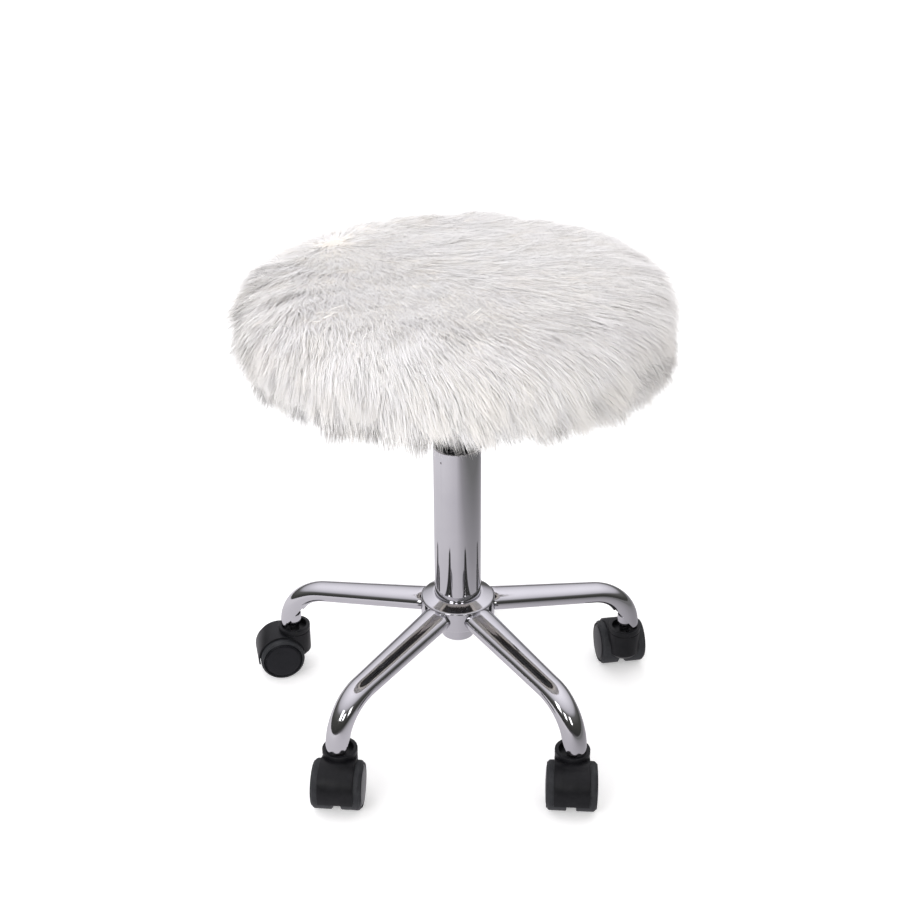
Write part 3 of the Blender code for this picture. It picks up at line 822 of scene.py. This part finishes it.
def build_screws():
    """Four button-head screws through the plate's corners into the board."""
    plate_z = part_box("seat_plate")[1].z - 0.0025
    reach = 0.060
    head_r, head_h, drive_r = 0.0055, 0.0030, 0.0021
    dome = [(0.0, 0.0), (head_r, 0.0), (head_r, -0.0006)]
    dome += [(head_r * 0.72, -head_h * 0.85), (drive_r + 0.0006, -head_h), (drive_r, -head_h)]
    dome += [(drive_r, -0.0009), (0.0, -0.0009)]
    for number, (x, y) in enumerate(((1, 1), (-1, 1), (-1, -1), (1, -1)), 1):
        at = Matrix.Translation((x * reach, y * reach, plate_z))
        mesh = turned("plate_screw", rounded(dome, 0.0004, 3), 48, matrix=at)
        piece(f"plate_screw_{number}", mesh, steel, "seat", ())


def finish_frame_nodes():
    """Finishes and softened edges on the frame's own nodes that stay."""
    finishes = {
        "seat_plate": powder_coat,
        "seat_board": plywood,
        "thrust_bearing": steel,
        "retaining_clip": steel,
        "piston_rod": steel,
        "valve_button": bush_plastic,
    }
    for number in range(1, 6):
        finishes[f"castor_{number}_stem"] = steel
        finishes[f"castor_{number}_axle"] = steel
    for name, material in finishes.items():
        node = frame["nodes"][name]
        for held in node.material_slots:
            held.link = "OBJECT"
            held.material = material
        edge = node.modifiers.new("Soft edges", "BEVEL")
        edge.width = 0.0004
        edge.segments = 2
        edge.limit_method = "ANGLE"
        edge.angle_limit = math.radians(50.0)


# The seat's pad and its pile


def cushion_mesh():
    """The pad under its cover: crowned on top, wrapped round the board, open under it."""
    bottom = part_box("seat_board")[0].z - 0.0006
    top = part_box("seat_board")[1].z + 0.0006
    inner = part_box("seat_board")[1].x + 0.0012
    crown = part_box("fur_cover")[1].z - PILE_ON_TOP
    profile = [
        (0.0, crown),
        (0.130, crown - 0.0006),
        (0.168, crown - 0.0025),
        (SKIN_R - 0.009, crown - 0.0090),
        (SKIN_R, crown - 0.0240),
        (SKIN_R - 0.002, bottom + 0.002),
        (SKIN_R - 0.012, bottom - 0.0080),
        (LIP_R + 0.005, bottom - 0.0095),
        (LIP_R, bottom - 0.0060),
        (LIP_R, bottom),
        (inner, bottom),
        (inner, top),
        (0.0, top),
    ]
    return turned("cushion", rounded(profile, 0.006))


def inflate(ob):
    """The filling pushes the skin out, and the faces round the board are held."""
    bpy.context.view_layer.objects.active = ob
    ob.select_set(True)
    ob.data.remesh_voxel_size = CUSHION_VOXEL
    bpy.ops.object.voxel_remesh()
    rest = read(ob.data.vertices, "co")
    across = np.hypot(rest[:, 0], rest[:, 1])
    board_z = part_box("seat_board")[1].z
    held = ob.vertex_groups.new(name="held")
    keep = (rest[:, 2] < board_z + 0.003) & (across < SKIN_R - 0.004)
    held.add([int(i) for i in np.flatnonzero(keep)], 1.0, "REPLACE")
    cloth = ob.modifiers.new("Cloth", "CLOTH")
    settings = cloth.settings
    settings.quality, settings.mass = 4, 0.3
    settings.tension_stiffness, settings.bending_stiffness = 12.0, 0.4
    settings.use_pressure, settings.uniform_pressure_force = True, 4.0
    settings.effector_weights.gravity = 0.0
    settings.vertex_group_mass = "held"
    for number in range(1, 21):
        scene.frame_set(number)
    graph = bpy.context.evaluated_depsgraph_get()
    mesh = bpy.data.meshes.new_from_object(ob.evaluated_get(graph))
    ob.modifiers.remove(cloth)
    scene.frame_set(1)
    pushed = read(mesh.vertices, "co") - rest
    far = np.linalg.norm(pushed, axis=1, keepdims=True)
    pushed *= np.minimum(1.0, CUSHION_CAP / np.maximum(far, 1e-9))
    ob.data = mesh
    mesh.vertices.foreach_set("co", (rest + pushed).astype(np.float32).ravel())
    mesh.update()


def pleat(turn):
    """The height of the cover's pleats round its edge, from -1 to 1, unevenly spaced."""
    return math.sin(turn * 46.0 + 1.3 * math.sin(turn * 5.0))


def gather(mesh):
    """Pleats where the cover's edge is drawn in under the board."""
    fade = 0.012
    for v in mesh.vertices:
        across = math.hypot(v.co.x, v.co.y)
        if across < LIP_R - 0.004:
            continue
        low = min(1.0, max(0.0, (PLEAT_TOP_Z - v.co.z) / fade))
        turn = math.atan2(v.co.y, v.co.x)
        fold = pleat(turn) + 0.5 * math.sin(turn * 83.0)
        v.co.z += PLEAT_DEPTH * fold * low
    mesh.update()


def build_cushion():
    ob = new_object("fur_cushion", cushion_mesh())
    inflate(ob)
    gather(ob.data)
    even = ob.modifiers.new("Even", "SMOOTH")
    even.factor = 0.5
    even.iterations = 6
    rounder = ob.modifiers.new("Smooth", "SUBSURF")
    rounder.levels = 1
    rounder.render_levels = 1
    mesh = evaluated(ob, "fur_cushion")
    mesh.shade_smooth()
    made = piece("fur_cushion", mesh, backing, "seat", ["fur_cover", "seat_foam"])
    return made


def build_hem():
    """The cover's edge turned in under the board: a thin pleated ring, held by staples."""
    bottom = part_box("seat_board")[0].z
    outer, inner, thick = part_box("seat_board")[1].x - 0.001, HEM_R, 0.0009
    bm = bmesh.new()
    rows = []
    for radius, drop in ((outer, 0.0002), (inner, 0.0002), (inner, thick), (outer, thick)):
        row = []
        for i in range(HEM_SIDES):
            turn = math.tau * i / HEM_SIDES
            fold = max(0.0, pleat(turn)) * 0.0008 if drop == thick else 0.0
            wave = 0.0016 * math.sin(turn * 17.0) if radius == inner else 0.0
            x, y = (radius + wave) * math.cos(turn), (radius + wave) * math.sin(turn)
            row.append(bm.verts.new((x, y, bottom - drop - fold)))
        rows.append(row)
    bridge(bm, rows)
    piece("cover_hem", shaded(mesh_of("cover_hem", bm), 60.0), backing, "seat", ())
    build_staples(inner + 0.007, bottom - thick)


def build_staples(across, face_z):
    """A ring of staples through the hem, each a little askew."""
    crown, width, thick = 0.0090, 0.0010, 0.0006
    bm = bmesh.new()
    for i in range(STAPLES):
        turn = math.tau * (i + 0.4) / STAPLES
        spot = Vector((math.cos(turn), math.sin(turn), 0.0)) * across
        spot.z = face_z - 0.0010
        lay = Matrix.Rotation(turn + 0.3 * math.sin(5.0 * i), 4, "Z")
        size = Matrix.Diagonal((width, crown, thick, 1.0))
        bmesh.ops.create_cube(bm, size=1.0, matrix=Matrix.Translation(spot) @ lay @ size)
    piece("cover_staples", mesh_of("cover_staples", bm), steel, "seat", ())


class Skin:
    """Points and normals on the cushion's furred faces, drawn by area."""

    def __init__(self, mesh):
        mesh.calc_loop_triangles()
        triangles = read(mesh.loop_triangles, "vertices", 3, int)
        self.corners = read(mesh.vertices, "co")[triangles]
        self.normals = read(mesh.vertices, "normal")[triangles]
        a, b, c = (self.corners[:, i] for i in range(3))
        area = np.linalg.norm(np.cross(b - a, c - a), axis=1) / 2
        middle = self.corners.mean(axis=1)
        facing = self.normals.mean(axis=1)
        across = np.hypot(middle[:, 0], middle[:, 1])
        outside = (across > LIP_R + 0.004) | (facing[:, 2] > 0.3) & (middle[:, 2] > FURRED_Z)
        under = facing[:, 2] < -0.4
        still = np.exp(-((np.linalg.norm(lay_of(middle, unit(facing)), axis=1) / 0.55) ** 2))
        self.share = area * outside * np.where(under, 0.7, 1.0) * (1.0 + 1.5 * still)
        self.sideways = steepness(facing)
        self.share /= self.share.sum()

    def draw(self, rng, count, top, side):
        """Random points with their normals, weighted between the skin's top and its side."""
        share = self.share * (top + (side - top) * self.sideways)
        chosen = rng.choice(len(share), count, p=share / share.sum())
        u, v = rng.random(count), rng.random(count)
        flip = u + v > 1
        u[flip], v[flip] = 1 - u[flip], 1 - v[flip]
        weights = np.stack([1 - u - v, u, v], axis=1)[:, :, None]
        points = (self.corners[chosen] * weights).sum(axis=1)
        normals = (self.normals[chosen] * weights).sum(axis=1)
        return points, unit(normals)


def unit(vectors):
    return vectors / np.maximum(np.linalg.norm(vectors, axis=-1, keepdims=True), 1e-9)


def steepness(normals):
    """0 where the skin lies flat and faces up, 1 where it stands upright or faces down."""
    return 1.0 - np.clip(normals[:, 2], 0.0, 1.0)


def styled(style, trait, side):
    """A trait of a style of strands, between its value on the top and on the side."""
    flat, upright = style[trait]
    return flat * (1 - side) + upright * side


def wander(points, scale, phase):
    """A smooth pseudo-random value from -1 to 1 at each point."""
    p = points * scale
    total = np.sin(p[:, 0] + 1.7 * np.sin(p[:, 1] * 0.9 + phase))
    total += np.sin(p[:, 1] * 1.3 + 1.1 * np.sin(p[:, 2] + p[:, 0] * 0.7 + phase * 2.1))
    return total / 2


def lay_of(points, normals):
    """Where the pile is combed: outward, swept to the right and front, and down on the side."""
    across = np.hypot(points[:, 0], points[:, 1])
    outward = np.zeros_like(points)
    outward[:, :2] = points[:, :2] / np.maximum(across, 1e-6)[:, None]
    spread = np.clip(across / 0.17, 0, 1)[:, None] ** 1.6
    side = steepness(normals)[:, None]
    turn = 0.5 * wander(points, 26.0, 0.4)
    fall = 0.80 + 0.45 * points[:, 0:1] / SKIN_R
    way = turn + SWEEP_WAY
    sweep = SWEEP * np.stack([np.cos(way), np.sin(way), 0 * turn], axis=1)
    flow = outward * spread + sweep - np.array([0.0, 0.0, 1.0]) * side * fall
    return flow - normals * (flow * normals).sum(axis=1, keepdims=True)


def curves_from(points, normals, lay, lift, droop, length, steps):
    """Strand curves: they leave the skin at a slant, follow the lay, bend down, and stay trimmed."""
    heading = unit(normals * lift[:, None] + lay)
    path = [points - normals * ROOT_DEPTH]
    stride = (length / steps)[:, None]
    for step in range(steps):
        path.append(path[-1] + heading * stride)
        heading = heading.copy()
        heading[:, 2] -= droop * (step + 1) / steps
        heading = unit(heading)
    path = np.stack(path, axis=1)
    across = np.linalg.norm(path[:, :, :2], axis=2, keepdims=True)
    past = np.maximum(0.0, across - PILE_EVEN_R)
    reach = np.minimum(across, PILE_EVEN_R) + past * REACH_PAST
    path[:, :, :2] *= reach / np.maximum(across, 1e-6)
    path[:, :, 2] -= np.maximum(0.0, path[:, :, 2] - PILE_EVEN_Z) * RISE_LOST
    return path


def pile_paths(skin, rng, count, tufts, style):
    """Strand centrelines drawn together into pointed tufts, with their roots' normals."""
    tuft_points, tuft_normals = skin.draw(rng, tufts, *style["share"])
    tuft_turn = rng.normal(0.0, style["stray"], tufts)
    tuft_lift = rng.uniform(0.7, 1.35, tufts)
    tuft_long = rng.uniform(0.80, 1.2, tufts)
    tree = KDTree(tufts)
    for i, place in enumerate(tuft_points):
        tree.insert(place, i)
    tree.balance()
    points, normals = skin.draw(rng, count, *style["share"])
    owner = np.array([tree.find(place)[1] for place in points])

    def settle(at, facing, turn, lift_scale, length_scale):
        """Curves in this style: fluffed up on the left, and pressed flat round the whorl."""
        flow = lay_of(at, facing)
        lay = unit(flow)
        whorl = np.exp(-((np.linalg.norm(flow, axis=1) / WHORL_FLOW) ** 2))
        turn = turn * (1.0 + 0.8 * whorl)
        sideways = np.cross(facing, lay)
        lay = lay * np.cos(turn)[:, None] + sideways * np.sin(turn)[:, None]
        side = steepness(facing)
        fluff = (1.0 - 0.25 * at[:, 0] / SKIN_R) * (1.0 - 0.55 * whorl)
        lift = styled(style, "lift", side) * lift_scale * fluff
        droop = styled(style, "droop", side)
        length = styled(style, "long", side) * length_scale
        return curves_from(at, facing, lay, lift, droop, length, style["steps"])

    axes = settle(tuft_points, tuft_normals, tuft_turn, tuft_lift, tuft_long)
    own = settle(
        points,
        normals,
        tuft_turn[owner] + rng.normal(0.0, 0.16, count),
        tuft_lift[owner] * rng.uniform(0.85, 1.15, count),
        tuft_long[owner] * rng.uniform(0.75, 1.1, count),
    )
    share = np.linspace(0.0, 1.0, style["steps"] + 1) ** 1.4
    clump = styled(style, "clump", steepness(normals))
    pull = share[None, :, None] * (clump * rng.uniform(0.5, 1.0, count))[:, None, None]
    paths = own + (axes[owner] - own) * pull
    raised = tuft_normals[owner][:, None, :] * ROOT_DEPTH * share[None, :, None]
    return paths + raised, normals


def strip_mesh(name, paths, normals, width, rng):
    """Thin tapering strips along the paths, lying like the pile on its skin."""
    count, stations, _ = paths.shape
    along = unit(np.gradient(paths, axis=1))
    facing = unit(normals + np.array([0.0, 0.0, 0.35]))[:, None, :]
    flat = unit(np.cross(along, np.broadcast_to(facing, along.shape)))
    lifted = np.cross(flat, along)
    roll = rng.normal(0.0, OWN_ROLL, count)[:, None, None]
    flat = flat * np.cos(roll) + lifted * np.sin(roll)
    share = np.linspace(0.0, 1.0, stations)
    half = 0.5 * width * rng.uniform(0.7, 1.3, count)[:, None] * (1.0 - share**2.2)[None, :]
    half = np.maximum(half, TIP_HALF)[:, :, None]
    left, right = paths + flat * half, paths - flat * half
    points = np.stack([left, right], axis=2).reshape(-1, 3)
    base = np.arange(count)[:, None] * stations * 2 + np.arange(stations - 1)[None, :] * 2
    quads = np.stack([base + 1, base, base + 2, base + 3], axis=2).reshape(-1, 4)
    mesh = bpy.data.meshes.new(name)
    mesh.vertices.add(len(points))
    mesh.vertices.foreach_set("co", points.astype(np.float32).ravel())
    mesh.loops.add(quads.size)
    mesh.loops.foreach_set("vertex_index", quads.astype(np.int32).ravel())
    mesh.polygons.add(len(quads))
    mesh.polygons.foreach_set("loop_start", np.arange(0, quads.size, 4, dtype=np.int32))
    mesh.update(calc_edges=True)
    mesh.shade_smooth()
    own = np.cross(flat, along)
    soft = unit(own * OWN_NORMAL + normals[:, None, :] * (1.0 - OWN_NORMAL))
    mesh.normals_split_custom_set_from_vertices(np.repeat(soft, 2, axis=1).reshape(-1, 3).tolist())
    return mesh


# Strand styles; a pair holds a trait's value on the top and on the side
UNDERCOAT = {
    "steps": 2, "stray": 0.4, "clump": (0.1, 0.2), "lift": (0.14, 0.8), "droop": (0.16, 0.35),
    "long": (0.032, 0.032), "share": (1.0, 1.0),
}
GUARD = {
    "steps": 3, "stray": 0.14, "clump": (0.04, 0.42), "lift": (0.11, 0.88), "droop": (0.05, 0.50),
    "long": (0.048, 0.043), "share": (1.0, 1.0),
}
LOCKS = GUARD | {
    "stray": 0.22, "clump": (0.04, 0.60), "lift": (0.11, 0.98), "long": (0.048, 0.047),
    "share": (0.45, 1.5),
}
COMBED = GUARD | {"share": (1.5, 0.45)}
FLYAWAY = {
    "steps": 4, "stray": 0.5, "clump": (0.0, 0.2), "lift": (0.20, 1.2), "droop": (0.08, 0.26),
    "long": (0.044, 0.042), "share": (0.7, 1.3),
}


def build_pile(cushion):
    """The pile in layers: an undercoat, combed tufts in several tints, and loose hairs. The tints
    differ a little at random and also hold painted light: cooler ones lie mostly on the top, warmer
    ones mostly on the sides.
    """
    rng = np.random.default_rng(7)
    skin = Skin(cushion.data)
    layers = (
        ("undercoat", UNDERCOAT, 48000, 3000, 0.0018, (0.935, 0.900, 0.862)),
        # painted light colour: the lilac tints of the combed layers, weighted to the top, and the
        # warm tints of the locks, weighted to the sides, stand in for a cool cast from above and a
        # warm cast on the sides
        ("pile_cool", COMBED, 32000, 620, 0.0007, (0.925, 0.915, 0.925)),
        ("pile_clear", COMBED, 32000, 800, 0.0007, (0.935, 0.925, 0.930)),
        ("pile_warm", LOCKS, 32000, 260, 0.0007, (0.945, 0.920, 0.890)),
        ("pile_cream", LOCKS, 32000, 340, 0.0007, (0.945, 0.925, 0.900)),
        ("pile_pale", LOCKS, 32000, 420, 0.0007, (0.945, 0.930, 0.915)),
        ("pile_soft", GUARD, 32000, 700, 0.0008, (0.940, 0.928, 0.925)),
        ("pile_white", GUARD, 32000, 800, 0.0007, (0.950, 0.942, 0.940)),
        ("pile_fine", GUARD, 32000, 900, 0.0006, (0.940, 0.930, 0.935)),
        ("loose_hair", FLYAWAY, 9000, 6000, 0.0005, (0.94, 0.932, 0.935)),
    )
    for name, style, count, tufts, width, colour in layers:
        paths, normals = pile_paths(skin, rng, count, tufts, style)
        mesh = strip_mesh(f"fur_{name}", paths, normals, width, rng)
        piece(f"fur_{name}", mesh, pile_finish(f"fur_{name}", colour), "seat", ())


# Studio


def build_floor():
    """A white sheet; polished metal sees it as a greyer floor, darker towards +X, which it emits to
    glossy rays only: painted shade in a painted reflection.
    """
    bm = bmesh.new()
    bmesh.ops.create_grid(bm, x_segments=4, y_segments=4, size=9.0)
    floor = new_object("studio_floor", mesh_of("studio_floor", bm))
    nodes = Nodes("pale_floor")
    tone = nodes.ramp(nodes.noise(3.0, 2.0), (0.3, (0.92, 0.92, 0.925)), (0.7, (0.93, 0.93, 0.935)))
    nodes.finish(tone, nodes.ramp(nodes.noise(8.0), (0.3, 0.75), (0.7, 0.85)))
    split = nodes.add("SeparateXYZ")
    nodes.join(nodes.place, split.inputs[0])
    across = nodes.add("MapRange")
    across.inputs["From Min"].default_value = -0.7
    across.inputs["From Max"].default_value = 0.7
    nodes.join(split.outputs["X"], across.inputs["Value"])
    # painted reflection: an emitted grey that falls off towards +X is painted shade, seen only by
    # mirrored rays
    shade = nodes.ramp(
        across.outputs["Result"],
        (0.0, (0.90, 0.88, 0.92)),
        (0.5, (0.72, 0.70, 0.74)),
        (0.72, (0.40, 0.39, 0.41)),
        (1.0, (0.22, 0.22, 0.22)),
    )
    mirrored = nodes.add("Emission")
    nodes.join(shade, mirrored.inputs["Color"])
    rays = nodes.add("LightPath").outputs
    nodes.give((1.0, 1.0, 1.0), nodes.shader.inputs["Emission Color"])
    glow = nodes.scaled(rays["Is Camera Ray"], 0.30, 0.0)
    nodes.join(glow, nodes.shader.inputs["Emission Strength"])
    shown = nodes.blend(rays["Is Glossy Ray"], nodes.shader.outputs[0], mirrored.outputs[0])
    nodes.join(shown, nodes.tree.nodes["Material Output"].inputs["Surface"])
    floor.data.materials.append(nodes.material)


def direction_ramp(nodes, value, *stops):
    """A colour ramp over a direction's component, from -1 to 1."""
    stops = [((position + 1) / 2, tone) for position, tone in stops]
    return nodes.ramp(nodes.scaled(value, 0.5, 0.5), *stops)


def build_world():
    """White to the eye; in reflections a dim room under a pale ceiling."""
    world = bpy.data.worlds.new("studio")
    scene.world = world
    world.use_nodes = True
    nodes = Tree(world.node_tree)
    split = nodes.add("SeparateXYZ")
    nodes.join(nodes.add("TexCoord").outputs["Generated"], split.inputs[0])
    room = direction_ramp(
        nodes,
        nodes.scaled(split.outputs["Y"], 0.30, split.outputs["Z"]),
        (-0.40, (0.30, 0.29, 0.31)),
        (-0.20, (0.045, 0.045, 0.043)),
        (0.20, (0.075, 0.076, 0.070)),
        (0.42, (0.16, 0.16, 0.155)),
        (0.55, (0.62, 0.61, 0.65)),
        (1.0, (1.25, 1.23, 1.30)),
    )
    light = direction_ramp(
        nodes,
        split.outputs["X"],
        (-1.0, (1.34, 1.33, 1.34)),
        (0.2, (1.10, 1.09, 1.10)),
        (1.0, (0.42, 0.40, 0.36)),
    )
    mirrored = nodes.tree.nodes["Background"]
    plain, eye = nodes.add("Background"), nodes.add("Background")
    nodes.join(room, mirrored.inputs["Color"])
    nodes.join(light, plain.inputs["Color"])
    nodes.give((1.0, 1.0, 1.0), eye.inputs["Color"])
    rays = nodes.add("LightPath").outputs
    lit = nodes.blend(rays["Is Glossy Ray"], plain.outputs[0], mirrored.outputs[0])
    shown = nodes.blend(rays["Is Camera Ray"], lit, eye.outputs[0])
    nodes.join(shown, nodes.tree.nodes["World Output"].inputs["Surface"])


def softbox(name, place, size, power, aim=0.1, tint=(1.0, 1.0, 1.0), mirrored=True):
    """A rectangle of light that looks at a height on the column's axis."""
    light = bpy.data.lights.new(name, "AREA")
    light.shape = "RECTANGLE"
    light.size, light.size_y = size
    light.energy = power
    light.color = tint
    ob = bpy.data.objects.new(name, light)
    scene.collection.objects.link(ob)
    ob.location = place
    ob.visible_glossy = mirrored
    ob.rotation_mode = "QUATERNION"
    ob.rotation_quaternion = (Vector((0.0, 0.0, aim)) - Vector(place)).to_track_quat("-Z", "Y")


def build_studio():
    build_floor()
    build_world()
    warm = (1.0, 0.985, 0.96)
    softbox("key", (-1.0, -2.1, 1.1), (1.0, 1.2), 6.5, 0.40, warm, mirrored=False)
    softbox("top", (-0.4, 0.6, 2.6), (1.8, 1.4), 9.0, 0.2, mirrored=False)
    softbox("window_left", (-1.3, -2.4, 2.0), (0.8, 1.1), 9.0)
    softbox("window_middle", (-0.2, -2.9, 1.7), (0.5, 0.7), 4.0)
    softbox("window_right", (1.2, -2.6, 1.6), (0.5, 0.8), 4.5)


def build_camera():
    data = bpy.data.cameras.new("camera")
    data.sensor_width = 36.0
    data.lens = 56.25
    data.clip_start = 0.05
    ob = bpy.data.objects.new("camera", data)
    scene.collection.objects.link(ob)
    ob.location = (0.0896, -1.2941, 0.9626)
    pitch, yaw, roll = math.radians(90.0 - 26.60), math.radians(4.284), math.radians(-0.453)
    turned_way = Matrix.Rotation(yaw, 4, "Z") @ Matrix.Rotation(pitch, 4, "X")
    ob.rotation_euler = (turned_way @ Matrix.Rotation(roll, 4, "Z")).to_euler()
    scene.camera = ob


scene.view_settings.view_transform = "Standard"
build_arms()
build_hub()
build_column()
build_cylinder()
build_castors()
build_lever()
build_screws()
finish_frame_nodes()
build_pile(build_cushion())
build_hem()
build_studio()
build_camera()
